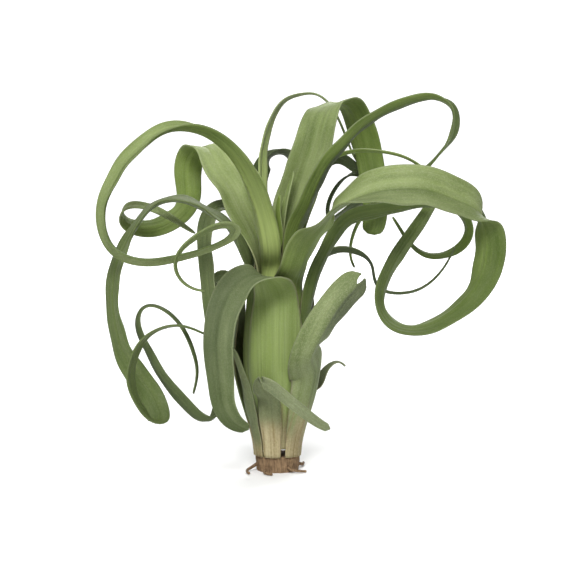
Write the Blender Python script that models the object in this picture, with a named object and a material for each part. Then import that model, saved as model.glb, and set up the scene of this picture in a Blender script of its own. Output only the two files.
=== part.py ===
"""A curly-leaved air plant, standing on its own stem base. Metres, +Z up.

The origin is the centre of the stem base, at the surface that the plant stands on, and -Y is
its front. The leaves are nested in a bulb of sheaths round a short stepped stem. Each leaf is
one closed ribbon: a sheath that lies on its shell of the bulb, then a blade that leaves the
bulb and curls along a route of its own. Lengths in this file are in millimetres until the
meshes are made.
"""
import math
from dataclasses import dataclass

import bmesh
import bpy
import numpy as np

MM = 0.001                # one millimetre, in metres

# The bulb. Layer 0 is the heart, and each layer further out is one sheath wider.
OUTER_LAYER = 7
WIDEST_Z = 50.0           # height of the bulb's widest ring
NECK_Z = 92.0             # height where the bulb stops narrowing
NECK_NARROWING = 0.20     # share of the radius lost between the widest ring and the neck
HEART_RADIUS = 3.6        # widest radius of layer 0
LAYER_PITCH = 2.2         # each layer adds this to the widest radius
BULB_FULLNESS = 1.7       # above 1 the bulb swells later, like a teardrop
FOOT_Z = 32.0             # where layer 0 starts on the stem
FOOT_Z_STEP = 3.6         # each layer further out starts this much lower
FOOT_RADIUS = 2.6         # radius at which layer 0 starts
FOOT_RADIUS_STEP = 1.05   # each layer further out starts this much wider

# The leaf, as a ribbon
SHEATH_HALF_THICK = 0.42
BLADE_HALF_THICK = 0.45
MARGIN_HALF_THICK = 0.33
CHANNEL = 38              # degrees of arc from a blade's midrib to its margin
TIP_CHANNEL = 0.3         # share of the channel that is left at the tip, unless the leaf says
CHANNEL_FADE = 1.5        # power with which the channel flattens towards the tip
FLATTENING = 0.85         # share of the channel that is lost where a blade lies flat
FLAT_REACH = 9.0          # length over which that dies away on each side
NOWHERE = -60.0           # a place below the sheath, for a blade that lies flat nowhere
NECK_BELOW = 16.0         # the sheath narrows into the blade from here below its departure
NECK_ABOVE = 22.0         # to here above it, unless the leaf says
TURN_BELOW = 12.0         # the blade turns from its shell to its own roll from here below
TURN_ABOVE = 8.0          # to here above its departure

# How a route becomes rows of facets
SHEATH_STEP = 6.0         # spacing of the route's points up the sheath
SPAN_POINTS = 20          # points of the raw curve between two points of a route
FINE_STEP = 0.5           # spacing of the points of a fine route
SMOOTHING = 3.5           # length over which a route is evened out
EVENING_FADE = 15.0       # length over which the evening sets in above the sheath
SHEATH_KEPT = 0.9         # share of the sheath's height that is never evened
LONGEST_FACET = 9.0
LARGEST_TURN = 0.52       # radians of bend between two rows of a ribbon
LARGEST_TWIST = 0.7       # radians of roll between two rows of a ribbon
SHEATH_ACROSS = 5         # points across a sheath
BLADE_ACROSS = 3          # points across a blade
NARROW_FROM = 11.0        # a blade has BLADE_ACROSS points from here past its departure

# The stem and its roots
STEM_BASE_RADIUS = 9.6
STEM_FOOT_TAPER = 0.6     # the base narrows by this down to the surface
STEM_TOP = 3.0            # the stem ends this far above the lowest sheath of the heart
STEM_SEAT = 0.3           # clearance between a sheath's foot and its ledge on the stem
STEM_SIDES = 24
ROOT_RADIUS = 0.8
ROOT_SUNK = 2.5           # a root starts this far inside the base
ROOT_POINTS = 8
ROOT_CURL = 0.5           # radians that a root turns round the stem on its way out
ROOTS = (                 # azimuth in degrees, reach from the axis, height at the stem
    (-165, 17.5, 4.0),
    (-128, 15.5, 3.0),
    (-62, 15.0, 3.4),
    (20, 16.5, 3.0),
    (95, 16.0, 3.8),
)


@dataclass(frozen=True)
class Leaf:
    """One leaf: angles in degrees, lengths in millimetres.

    way holds the blade's route as (x, y, z, roll). A roll of 0 turns the blade's width
    towards +Y, and it grows counter-clockwise as seen against the growth.
    """

    name: str
    azimuth: float            # the side of the bulb that the sheath lies on
    layer: int
    wrap: float               # half of the angle that the sheath takes round the bulb
    depart: float             # height where the blade leaves the bulb
    width: float              # half width of the blade where it leaves the bulb
    taper: float              # power of the taper, small for a strap
    way: tuple
    tone: str = "fresh"
    channel: float = CHANNEL
    tip: float = 0.5          # half width of the tip
    neck: float = NECK_ABOVE
    tip_channel: float = TIP_CHANNEL
    flat_at: float = NOWHERE  # length past the departure where the blade lies flat


LEAVES = (
    Leaf(
        "leaf_front_broad", azimuth=-93, layer=6, wrap=44, depart=76, width=7.8, taper=0.30,
        tone="grey", channel=26, neck=24,
        way=((-2, -19, 81, -110), (-5, -24, 86, -165), (-10, -28, 87, 150), (-16, -32, 84, 120),
             (-20, -35, 78, 100), (-23, -38, 69, 95), (-24, -40, 57, 95), (-23, -39, 45, 95),
             (-22, -37, 34, 100), (-19, -33, 27, 100), (-16, -29, 24, 110), (-12, -26, 22, 120)),
    ),
    Leaf(
        "leaf_front_right", azimuth=-37, layer=7, wrap=34, depart=43, width=9.4, taper=0.60,
        tone="grey", channel=50, neck=34, tip=6.4, tip_channel=1.0,
        way=((13, -24, 52, -40), (17, -28, 61, -50), (22, -28, 70, -65), (28, -26, 78, -75),
             (33, -25, 83, -80), (36, -23, 86, -80)),
    ),
    Leaf(
        "leaf_right_arch", azimuth=-52, layer=4, wrap=46, depart=82, width=11.8, taper=0.78,
        channel=50, neck=42, tip=2.8, flat_at=34,
        way=((9, -15, 88, -35), (12, -19, 96, -40), (15, -23, 102, -35), (19, -26, 107, -25),
             (21, -28, 111, 0), (26, -30, 115, 5), (31, -31, 118, 15), (38, -33, 121, 40),
             (48, -34, 123, 60), (61, -33, 123, 65), (72, -30, 119, 60), (81, -27, 115, 45),
             (85, -24, 111, 5), (87, -23, 105, -45), (88, -22, 96, -50), (85, -22, 84, -40),
             (78, -22, 75, -25), (69, -21, 68, -20), (59, -20, 64, -15), (50, -17, 65, -15),
             (45, -13, 70, -20), (44, -9, 76, -25), (47, -5, 85, -35), (53, 0, 95, -45),
             (60, 5, 104, -50), (66, 9, 113, -50), (69, 11, 118, -50)),
    ),
    Leaf(
        "leaf_right_strap", azimuth=-12, layer=5, wrap=42, depart=66, width=4.8, taper=0.50,
        way=((15, -3, 79, -35), (18, -4, 89, -40), (22, -6, 97, -40), (26, -8, 105, -50),
             (32, -9, 110, -60), (41, -8, 112, -55), (53, -5, 114, -45), (65, 1, 115, -35),
             (76, 8, 113, -30), (82, 13, 108, -30), (84, 16, 102, -40), (80, 18, 95, -40),
             (73, 18, 92, -30), (65, 16, 92, -30), (58, 14, 97, -25), (54, 12, 103, -25),
             (50, 10, 109, -20)),
    ),
    Leaf(
        "leaf_centre_broad", azimuth=76, layer=2, wrap=50, depart=86, width=10.0, taper=0.85,
        neck=40, tip=5.0,
        way=((4, 8, 105, 90), (8, 10, 118, 90), (12, 11, 130, 90), (16, 13, 142, 85),
             (19, 17, 152, 60), (23, 25, 157, 20), (29, 33, 159, -10), (33, 40, 157, -40),
             (36, 45, 151, -60), (39, 48, 144, -75), (41, 49, 136, -80), (43, 48, 126, -85),
             (44, 45, 116, -85), (44, 42, 107, -80), (42, 39, 100, -75)),
    ),
    Leaf(
        "leaf_top_right_loop", azimuth=-28, layer=2, wrap=42, depart=90, width=5.6, taper=0.75,
        way=((8, -5, 105, -45), (13, -8, 115, -40), (17, -11, 125, -40), (22, -12, 134, -40),
             (28, -13, 140, -35), (34, -12, 147, -30), (43, -10, 153, -30), (52, -7, 157, -30),
             (61, -4, 160, -30), (68, 0, 160, -10), (73, 4, 158, 10), (76, 8, 155, 35),
             (77, 11, 150, 40), (76, 14, 144, 35), (72, 18, 138, 10), (66, 21, 131, -10),
             (55, 25, 124, -20), (44, 28, 116, -20), (37, 30, 108, -20), (33, 31, 99, -25),
             (32, 29, 91, -25), (34, 25, 86, -25)),
    ),
    Leaf(
        "leaf_top_thin", azimuth=145, layer=1, wrap=36, depart=92, width=4.6, taper=0.75,
        way=((-6, 1, 105, 140), (-7, 6, 115, 150), (-7, 10, 125, 150), (-7, 16, 135, 150),
             (-6, 20, 142, 155), (-4, 25, 148, 155), (-1, 30, 156, 160), (4, 35, 161, 165),
             (11, 40, 163, 170), (18, 45, 163, 180), (24, 49, 158, 185), (28, 52, 151, 190),
             (31, 54, 144, 190), (34, 54, 136, 190), (38, 53, 130, 190)),
    ),
    Leaf(
        "leaf_left_loop", azimuth=-150, layer=2, wrap=56, depart=88, width=7.6, taper=0.85,
        channel=74, tip_channel=0.6,
        way=((-5, -13, 96, -125), (-7, -17, 108, -130), (-11, -21, 121, -135),
             (-17, -25, 133, -145), (-23, -28, 140, -155), (-30, -29, 145, -170),
             (-39, -29, 147, -190), (-46, -29, 146, -205), (-52, -29, 142, -215),
             (-57, -30, 138, -220), (-62, -31, 133, -220), (-66, -32, 126, -220),
             (-70, -33, 118, -215), (-71, -34, 111, -210), (-70, -36, 105, -210),
             (-67, -38, 99, -210), (-60, -40, 95, -210), (-51, -42, 94, -210),
             (-40, -45, 96, -210), (-29, -48, 99, -205), (-20, -51, 103, -210),
             (-16, -54, 106, -240), (-16, -57, 109, -295), (-21, -59, 110, -315),
             (-27, -59, 108, -320), (-33, -58, 104, -320), (-38, -57, 100, -325),
             (-41, -56, 94, -330), (-40, -54, 89, -330), (-36, -52, 84, -335),
             (-29, -50, 82, -340)),
    ),
    Leaf(
        "leaf_left_arch", azimuth=-154, layer=5, wrap=37, depart=76, width=7.6, taper=0.42,
        channel=24, tip=0.6,
        way=((-13, -9, 90, 170), (-17, -14, 99, 170), (-21, -18, 107, 175), (-28, -21, 112, 175),
             (-35, -24, 116, 175), (-43, -25, 118, 175), (-52, -25, 115, 175),
             (-57, -25, 109, 170), (-62, -25, 100, 160), (-66, -25, 92, 150),
             (-68, -25, 80, 150), (-67, -26, 67, 145), (-64, -27, 55, 130), (-58, -28, 45, 105),
             (-51, -31, 35, 95), (-48, -36, 26, 120), (-53, -42, 30, 175), (-58, -44, 38, 170),
             (-60, -44, 47, 160), (-57, -42, 58, 160), (-50, -39, 65, 165), (-40, -36, 67, 170),
             (-30, -33, 63, 175)),
    ),
    Leaf(
        "leaf_upper_left_broad", azimuth=150, layer=3, wrap=50, depart=86, width=9.6, taper=0.75,
        way=((-9, 11, 101, 120), (-14, 11, 111, 110), (-19, 13, 122, 110), (-26, 17, 131, 110),
             (-30, 23, 138, 145), (-35, 31, 139, -170), (-39, 38, 135, -110),
             (-41, 40, 128, -90), (-40, 37, 119, -75), (-41, 31, 113, -65), (-47, 24, 107, -60),
             (-55, 16, 104, -60), (-63, 8, 105, -50), (-67, 1, 109, -15), (-65, -5, 114, 15),
             (-59, -8, 115, 30), (-51, -9, 113, 40), (-44, -9, 109, 50), (-38, -8, 105, 50),
             (-35, -7, 103, 50)),
    ),
    Leaf(
        "leaf_left_trailing", azimuth=145, layer=4, wrap=38, depart=84, width=5.4, taper=0.68,
        tone="dark",
        way=((-7, 14, 91, 150), (-12, 20, 101, 150), (-17, 23, 109, 155), (-22, 22, 113, 150),
             (-28, 18, 112, 140), (-31, 14, 105, 130), (-31, 10, 97, 130), (-30, 6, 84, 130),
             (-28, -1, 67, 130), (-25, -9, 50, 130), (-24, -17, 36, 140), (-27, -23, 25, 170),
             (-33, -27, 27, 230), (-38, -29, 33, 240), (-44, -30, 40, 235), (-49, -31, 47, 230),
             (-53, -31, 55, 225), (-57, -31, 63, 220), (-58, -31, 70, 205), (-55, -31, 75, 190),
             (-51, -31, 75, 185), (-45, -30, 72, 190), (-39, -29, 65, 200), (-35, -28, 56, 205),
             (-33, -27, 46, 205), (-35, -26, 37, 205)),
    ),
    Leaf(
        "leaf_right_thin", azimuth=-25, layer=1, wrap=58, depart=92, width=2.8, taper=0.80,
        way=((10, 1, 107, -50), (13, -2, 120, -45), (18, -3, 130, -40), (24, -5, 135, -30),
             (30, -3, 137, -25), (38, 0, 138, -20), (47, 3, 137, -20), (55, 7, 135, -20),
             (62, 11, 131, -20), (69, 15, 125, -20), (73, 18, 117, -20)),
    ),
    Leaf(
        "leaf_right_curl", azimuth=18, layer=6, wrap=34, depart=62, width=5.2, taper=1.00,
        tone="dark", channel=24,
        way=((15, 15, 83, 10), (18, 17, 89, -10), (24, 15, 94, -30), (31, 17, 94, -30),
             (37, 19, 92, -15), (42, 20, 88, -5), (42, 20, 82, -5), (44, 19, 77, -15),
             (50, 18, 75, -20), (60, 16, 76, -20), (68, 14, 81, -20), (74, 12, 89, -15),
             (77, 10, 96, -15)),
    ),
    Leaf(
        "leaf_back_right", azimuth=56, layer=4, wrap=40, depart=82, width=7.6, taper=0.50,
        tone="dark", channel=24,
        way=((4, 20, 106, 95), (7, 28, 118, 80), (7, 38, 130, 50), (4, 49, 135, 10),
             (-2, 60, 136, -20), (-7, 65, 132, -50), (-10, 67, 120, -70), (-11, 66, 106, -80),
             (-11, 61, 90, -85), (-10, 53, 75, -90)),
    ),
    Leaf(
        "leaf_back_inner", azimuth=46, layer=3, wrap=38, depart=80, width=4.6, taper=0.70,
        tone="dark",
        way=((8, 14, 104, 65), (11, 20, 116, 80), (15, 30, 126, 90), (22, 40, 133, 95),
             (29, 50, 134, 95), (36, 57, 129, 95), (39, 61, 127, 140), (34, 64, 127, 170),
             (29, 66, 123, 200), (25, 67, 117, 215), (23, 68, 112, 225), (23, 69, 106, 235),
             (26, 70, 102, 240)),
    ),
    Leaf(
        "leaf_back_middle", azimuth=92, layer=5, wrap=40, depart=76, width=6.6, taper=0.55,
        tone="dark",
        way=((-1, 23, 91, 90), (-2, 32, 99, 90), (-3, 43, 103, 110), (-4, 54, 99, -150),
             (-3, 60, 86, -100), (-3, 60, 68, -90), (-2, 55, 52, -90), (-1, 47, 40, -90),
             (1, 38, 35, -90), (1, 30, 39, -90)),
    ),
    Leaf(
        "leaf_back_far_right", azimuth=84, layer=6, wrap=28, depart=66, width=6.0, taper=0.60,
        tone="dark",
        way=((3, 24, 80, 75), (7, 33, 90, 60), (16, 47, 99, 30), (29, 60, 108, -10),
             (44, 62, 116, -40), (62, 64, 120, -55), (79, 63, 118, -60), (91, 60, 111, -60),
             (96, 57, 99, -60), (96, 53, 86, -55), (93, 49, 77, -50)),
    ),
    Leaf(
        "leaf_back_left", azimuth=112, layer=7, wrap=27, depart=54, width=6.4, taper=0.55,
        tone="dark",
        way=((-8, 25, 70, 130), (-10, 33, 85, 120), (-13, 43, 100, 110), (-16, 54, 111, 120),
             (-16, 64, 115, 180), (-15, 72, 109, -110), (-13, 76, 93, -95), (-12, 75, 75, -90),
             (-11, 69, 58, -90), (-10, 60, 45, -90), (-10, 49, 37, -90)),
    ),
    Leaf(
        "leaf_left_low", azimuth=168, layer=7, wrap=25, depart=56, width=6.2, taper=0.50,
        tone="dark",
        way=((-17, 2, 74, 165), (-21, 6, 81, 155), (-26, 11, 82, 145), (-28, 15, 73, 140),
             (-29, 16, 59, 135), (-28, 14, 45, 135), (-25, 10, 36, 135), (-21, 5, 33, 130)),
    ),
    Leaf(
        "leaf_young_left", azimuth=-128, layer=1, wrap=30, depart=92, width=4.0, taper=0.60,
        way=((-2, -5, 103, -130), (-5, -7, 115, -130), (-8, -8, 126, -140), (-11, -7, 131, -150),
             (-13, -3, 131, -160), (-13, 0, 129, -170), (-13, 2, 127, -170)),
    ),
    Leaf(
        "leaf_heart_right", azimuth=35, layer=0, wrap=62, depart=96, width=3.4, taper=0.60,
        way=((2, 0, 105, 30), (3, 0, 113, 30), (5, 1, 122, 30), (7, 3, 129, 25)),
    ),
    Leaf(
        "leaf_heart_left", azimuth=-145, layer=0, wrap=62, depart=92, width=3.0, taper=0.60,
        way=((1, -3, 102, -145), (0, -4, 111, -145), (1, -4, 119, -140)),
    ),
    Leaf(
        "leaf_old_front", azimuth=-104, layer=7, wrap=22, depart=33, width=3.0, taper=0.35,
        tone="old", tip=1.2,
        way=((-7, -26, 39, -100), (-7, -29, 43, -140), (-5, -31, 43, 120), (0, -31, 39, 90),
             (7, -30, 33, 80), (13, -28, 28, 80), (18, -26, 24, 80), (22, -25, 22, 80)),
    ),
    Leaf(
        "leaf_old_left", azimuth=-146, layer=7, wrap=17, depart=22, width=2.8, taper=0.60,
        tone="old",
        way=((-12, -13, 29, -130), (-13, -15, 37, -130), (-16, -17, 47, -135),
             (-19, -19, 56, -150), (-24, -22, 59, -170)),
    ),
    Leaf(
        "leaf_old_right", azimuth=48, layer=7, wrap=22, depart=32, width=2.6, taper=0.50,
        tone="old",
        way=((17, 15, 34, 40), (21, 19, 41, 30), (26, 22, 45, 10), (30, 24, 42, -10)),
    ),
)

TONES = {                     # base colour and roughness of each tone
    "grey": ((0.20, 0.27, 0.13), 0.62),
    "fresh": ((0.25, 0.37, 0.09), 0.52),
    "dark": ((0.09, 0.15, 0.05), 0.60),
    "old": ((0.22, 0.25, 0.13), 0.75),
    "stem": ((0.20, 0.14, 0.08), 0.85),
}


def ease(start, end, value):
    """Rise smoothly from 0 at start to 1 at end."""
    share = np.clip((value - start) / (end - start), 0, 1)
    return share * share * (3 - 2 * share)


def unit(vectors):
    """Scale each vector to length 1."""
    return vectors / np.linalg.norm(vectors, axis=-1, keepdims=True)


def dot(a, b):
    """Dot product of each pair of rows, as a column."""
    return np.sum(a * b, axis=-1, keepdims=True)


def foot_height(layer):
    """Height at which a layer's sheaths start on the stem."""
    return FOOT_Z - FOOT_Z_STEP * layer


def foot_radius(layer):
    """Radius at which a layer's sheaths start on the stem."""
    return FOOT_RADIUS + FOOT_RADIUS_STEP * layer


def shell_radius(layer, height):
    """Radius of the middle of a layer's sheaths at a height."""
    start = foot_height(layer)
    widest = HEART_RADIUS + LAYER_PITCH * layer
    rise = np.clip((height - start) / (WIDEST_Z - start), 0, 1)
    swell = np.sin(rise * math.pi / 2) ** BULB_FULLNESS
    radius = foot_radius(layer) + (widest - foot_radius(layer)) * swell
    return radius * (1 - NECK_NARROWING * ease(WIDEST_Z, NECK_Z, height))


def side_of(azimuth):
    """Directions away from the axis and round it, on one side of the bulb."""
    turn = math.radians(azimuth)
    outward = np.array([math.cos(turn), math.sin(turn), 0.0])
    around = np.array([-math.sin(turn), math.cos(turn), 0.0])
    return outward, around


def lengths_along(points):
    """Length along a line of points up to each of them."""
    steps = np.linalg.norm(np.diff(points[:, :3], axis=0), axis=1)
    return np.concatenate([[0.0], np.cumsum(steps)])


def read_at(values, known, wanted):
    """Read a row of numbers, or each column of a table, at the wanted places."""
    if values.ndim == 1:
        return np.interp(wanted, known, values)
    return np.stack([np.interp(wanted, known, column) for column in values.T], axis=1)


def curve_through(points):
    """Centripetal Catmull-Rom curve through points, as a line with FINE_STEP spacing."""
    ends = np.vstack([2 * points[0] - points[1], points, 2 * points[-1] - points[-2]])
    pieces = []
    for before, start, end, after in zip(ends, ends[1:], ends[2:], ends[3:]):
        knots = [0.0]
        for a, b in ((before, start), (start, end), (end, after)):
            knots.append(knots[-1] + np.linalg.norm((b - a)[:3]) ** 0.5)
        k0, k1, k2, k3 = knots
        k = np.linspace(k1, k2, SPAN_POINTS, endpoint=False)[:, None]
        first = (before * (k1 - k) + start * (k - k0)) / (k1 - k0)
        middle = (start * (k2 - k) + end * (k - k1)) / (k2 - k1)
        last = (end * (k3 - k) + after * (k - k2)) / (k3 - k2)
        left = (first * (k2 - k) + middle * (k - k0)) / (k2 - k0)
        right = (middle * (k3 - k) + last * (k - k1)) / (k3 - k1)
        pieces.append((left * (k2 - k) + right * (k - k1)) / (k2 - k1))
    line = np.vstack(pieces + [points[-1:]])
    known = lengths_along(line)
    return read_at(line, known, np.linspace(0, known[-1], round(known[-1] / FINE_STEP) + 1))


def evened(line, kept):
    """Average a fine line over SMOOTHING, twice, past its first kept points."""
    reach = round(SMOOTHING / FINE_STEP)
    index = np.arange(len(line))
    weight = np.clip((len(line) - 1 - index) / (2 * reach), 0, 1)
    weight = weight * np.clip((index - kept) * FINE_STEP / EVENING_FADE, 0, 1)
    for _ in range(2):
        before = np.repeat(line[:1], reach + 1, axis=0)
        after = np.repeat(line[-1:], reach, axis=0)
        sums = np.cumsum(np.vstack([before, line, after]), axis=0)
        mean = (sums[2 * reach + 1:] - sums[:-2 * reach - 1]) / (2 * reach + 1)
        line = line + (mean - line) * weight[:, None]
    return line


def width_direction(growth, roll):
    """Direction of a blade's width: +Y made square to the growth, turned by the roll."""
    square = unit(np.array([0.0, 1.0, 0.0]) - growth[1] * growth)
    return square * math.cos(roll) + np.cross(growth, square) * math.sin(roll)


def leaf_route(leaf):
    """Fine line of a leaf's midrib, with the direction of its width in columns 3 to 5."""
    outward, around = side_of(leaf.azimuth)
    start = foot_height(leaf.layer)
    heights = np.linspace(start, leaf.depart, int((leaf.depart - start) / SHEATH_STEP) + 1)
    sheath = [outward * shell_radius(leaf.layer, z) + [0, 0, z] for z in heights]
    points = np.array(sheath + [np.array(stop[:3], float) for stop in leaf.way])
    growth = unit(np.vstack([points[1:2] - points[:1], points[2:] - points[:-2],
                             points[-1:] - points[-2:-1]]))
    widths = [around] * len(sheath)
    for direction, stop in zip(growth[len(sheath):], leaf.way):
        widths.append(width_direction(direction, math.radians(stop[3])))
    line = curve_through(np.hstack([points, np.array(widths)]))
    return evened(line, int((leaf.depart - start) / FINE_STEP * SHEATH_KEPT))


@dataclass
class Ribbon:
    """A leaf's rows, one entry per row: places, directions, half widths and half arcs."""

    middle: np.ndarray
    width: np.ndarray
    outside: np.ndarray
    half_width: np.ndarray
    arc: np.ndarray
    past_sheath: np.ndarray


def leaf_ribbon(leaf):
    """The fine ribbon of a leaf: its directions, widths and channel along its route."""
    outward, around = side_of(leaf.azimuth)
    line = leaf_route(leaf)
    middle = line[:, :3]
    growth = unit(np.gradient(middle, axis=0))
    width = unit(line[:, 3:] - dot(line[:, 3:], growth) * growth)
    along = lengths_along(middle)
    departure = along[np.argmax(middle[:, 2] > leaf.depart - FINE_STEP)]
    free = ease(departure - TURN_BELOW, departure + TURN_ABOVE, along)[:, None]
    outside = unit(outward * (1 - free) + np.cross(width, growth) * free)
    width = unit(around * (1 - free) + width * free)
    share = np.clip((along - departure) / (along[-1] - departure), 0, 1)
    blade = leaf.tip + (leaf.width - leaf.tip) * (1 - share) ** leaf.taper
    channel = math.radians(leaf.channel) * (
        leaf.tip_channel + (1 - leaf.tip_channel) * (1 - share) ** CHANNEL_FADE)
    flat = np.exp(-((along - departure - leaf.flat_at) / FLAT_REACH) ** 2)
    channel = channel * (1 - FLATTENING * flat)
    wrap = math.radians(leaf.wrap)
    sheath = shell_radius(leaf.layer, middle[:, 2]) * wrap
    opened = ease(departure - NECK_BELOW, departure + leaf.neck, along)
    return Ribbon(middle, width, outside, sheath * (1 - opened) + blade * opened,
                  wrap * (1 - opened) + channel * opened, along - departure)


def row_places(ribbon):
    """Choose rows along a fine ribbon: close where it bends or twists, long where straight."""
    step = np.diff(lengths_along(ribbon.middle))
    growth = unit(np.gradient(ribbon.middle, axis=0))
    bend = np.arccos(np.clip(dot(growth[1:], growth[:-1])[:, 0], -1, 1))
    twist = np.arccos(np.clip(dot(ribbon.width[1:], ribbon.width[:-1])[:, 0], -1, 1))
    effort = step / LONGEST_FACET + bend / LARGEST_TURN + twist / LARGEST_TWIST
    known = np.concatenate([[0.0], np.cumsum(effort)])
    rows = np.linspace(0, known[-1], math.ceil(known[-1]) + 1)
    return np.interp(rows, known, np.arange(len(known)))


def leaf_rows(leaf):
    """Outer and inner points of each row of facets of a leaf."""
    fine = leaf_ribbon(leaf)
    places = row_places(fine)
    index = np.arange(len(fine.middle))
    columns = [read_at(values, index, places) for values in vars(fine).values()]
    rows = []
    for middle, width, outside, half, arc, past in zip(*columns):
        width, outside = unit(width), unit(outside)
        across = np.linspace(-1, 1, BLADE_ACROSS if past > NARROW_FROM else SHEATH_ACROSS)[:, None]
        angle = arc * across
        bow = half / arc
        surface = middle + bow * (np.sin(angle) * width - (1 - np.cos(angle)) * outside)
        normal = np.cos(angle) * outside + np.sin(angle) * width
        thick = np.full_like(across, SHEATH_HALF_THICK)
        if past > 0:
            thick = BLADE_HALF_THICK + (MARGIN_HALF_THICK - BLADE_HALF_THICK) * across ** 2
        rows.append((surface + normal * thick, surface - normal * thick))
    return rows


def strip_faces(lower, upper):
    """Triangles between two rows of corners, also from a row of five to one of three."""
    if len(lower) > len(upper):
        a, b = lower, upper
        return [(a[0], a[1], b[0]), (a[1], a[2], b[1]), (a[1], b[1], b[0]),
                (a[2], a[3], b[1]), (a[3], a[4], b[2]), (a[3], b[2], b[1])]
    faces = []
    for a, b, c, d in zip(lower, lower[1:], upper, upper[1:]):
        faces += [(a, b, d), (a, d, c)]
    return faces


def leaf_object(leaf):
    """Closed ribbon of a leaf, with both faces split into triangles alike."""
    mesh = bmesh.new()
    rows = [[[mesh.verts.new(point * MM) for point in side] for side in row]
            for row in leaf_rows(leaf)]
    faces = []
    for (outer, inner), (next_outer, next_inner) in zip(rows, rows[1:]):
        faces += strip_faces(outer, next_outer)
        faces += strip_faces(inner, next_inner)
        for edge in (0, -1):
            faces += strip_faces((outer[edge], inner[edge]), (next_outer[edge], next_inner[edge]))
    for outer, inner in (rows[0], rows[-1]):
        faces += strip_faces(outer, inner)
    for face in faces:
        mesh.faces.new(face)
    return linked(leaf.name, closed_mesh(leaf.name, mesh))


def closed_mesh(name, mesh):
    """Turn a bmesh of one closed body into a mesh with its faces pointing out."""
    bmesh.ops.recalc_face_normals(mesh, faces=mesh.faces)
    data = bpy.data.meshes.new(name)
    mesh.to_mesh(data)
    mesh.free()
    return data


def stem_profile():
    """Radius and height down the stem, with one ledge for each layer's sheaths."""
    top = foot_height(0) + STEM_TOP
    profile = []
    for layer in range(OUTER_LAYER + 1):
        inner = foot_radius(layer) - SHEATH_HALF_THICK - 2 * STEM_SEAT
        ledge = foot_height(layer) - STEM_SEAT
        profile += [(inner, top), (inner, ledge)]
        top = ledge
    return profile + [(STEM_BASE_RADIUS, top), (STEM_BASE_RADIUS - STEM_FOOT_TAPER, 0.0)]


def stem_object():
    """The stepped stem as a turned solid."""
    mesh = bmesh.new()
    rings = []
    for radius, height in stem_profile():
        turns = [2 * math.pi * side / STEM_SIDES for side in range(STEM_SIDES)]
        rings.append([mesh.verts.new((radius * math.cos(turn) * MM, radius * math.sin(turn) * MM,
                                      height * MM)) for turn in turns])
    for upper, lower in zip(rings, rings[1:]):
        for side in range(STEM_SIDES):
            mesh.faces.new((upper[side - 1], lower[side - 1], lower[side], upper[side]))
    mesh.faces.new(rings[0])
    mesh.faces.new(rings[-1])
    return linked("stem_with_roots", closed_mesh("stem_with_roots", mesh))


def root_object(azimuth, reach, height):
    """One wiry root, which leaves the stem and comes down to the surface."""
    curve = bpy.data.curves.new("root", "CURVE")
    curve.dimensions = "3D"
    curve.bevel_depth = ROOT_RADIUS * MM
    curve.bevel_resolution = 1
    curve.use_fill_caps = True
    spline = curve.splines.new("POLY")
    spline.points.add(ROOT_POINTS - 1)
    start = STEM_BASE_RADIUS - ROOT_SUNK
    for point, share in zip(spline.points, np.linspace(0, 1, ROOT_POINTS)):
        radius = start + (reach - start) * share
        drop = height + (ROOT_RADIUS - height) * math.sin(share * math.pi / 2)
        turn = math.radians(azimuth) + ROOT_CURL * share * share
        point.co = (radius * math.cos(turn) * MM, radius * math.sin(turn) * MM, drop * MM, 1)
    return linked("root", curve)


def linked(name, data):
    """Link a new object to the scene."""
    item = bpy.data.objects.new(name, data)
    bpy.context.scene.collection.objects.link(item)
    return item


def join_roots(stem):
    """Fuse the roots into the stem with one Boolean union, and remove them."""
    roots = bpy.data.collections.new("roots")
    bpy.context.scene.collection.children.link(roots)
    for azimuth, reach, height in ROOTS:
        item = root_object(azimuth, reach, height)
        evaluated = item.evaluated_get(bpy.context.evaluated_depsgraph_get())
        solid = bpy.data.objects.new("root_solid", bpy.data.meshes.new_from_object(evaluated))
        roots.objects.link(solid)
        bpy.data.objects.remove(item)
    union = stem.modifiers.new("roots", "BOOLEAN")
    union.operation = "UNION"
    union.operand_type = "COLLECTION"
    union.collection = roots
    bpy.context.view_layer.objects.active = stem
    bpy.ops.object.modifier_apply(modifier=union.name)
    for solid in list(roots.objects):
        bpy.data.objects.remove(solid)
    bpy.data.collections.remove(roots)


def dress(item, tone):
    """Give an object its own material in one of the tones."""
    colour, roughness = TONES[tone]
    material = bpy.data.materials.new(item.name)
    material.use_nodes = True
    shader = material.node_tree.nodes["Principled BSDF"]
    shader.inputs["Base Color"].default_value = (*colour, 1)
    shader.inputs["Roughness"].default_value = roughness
    shader.inputs["Metallic"].default_value = 0.0
    item.data.materials.clear()
    item.data.materials.append(material)


def main():
    """Build the plant."""
    for item in list(bpy.data.objects):
        bpy.data.objects.remove(item)
    stem = stem_object()
    join_roots(stem)
    dress(stem, "stem")
    for leaf in LEAVES:
        item = leaf_object(leaf)
        item.data.shade_smooth()
        dress(item, leaf.tone)


if __name__ == "__main__":
    main()
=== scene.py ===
"""A curly-leaved air plant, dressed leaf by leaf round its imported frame.

Every leaf is a flat grid that is laid along the leaf's route, pleated, thickened and then
coloured along and across its own length. The stem base and its roots stand on a pale floor
under soft studio light. Lengths are in millimetres until a mesh is made.
"""
import logging
import math
from dataclasses import dataclass
from enum import Enum
from typing import Any

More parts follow.
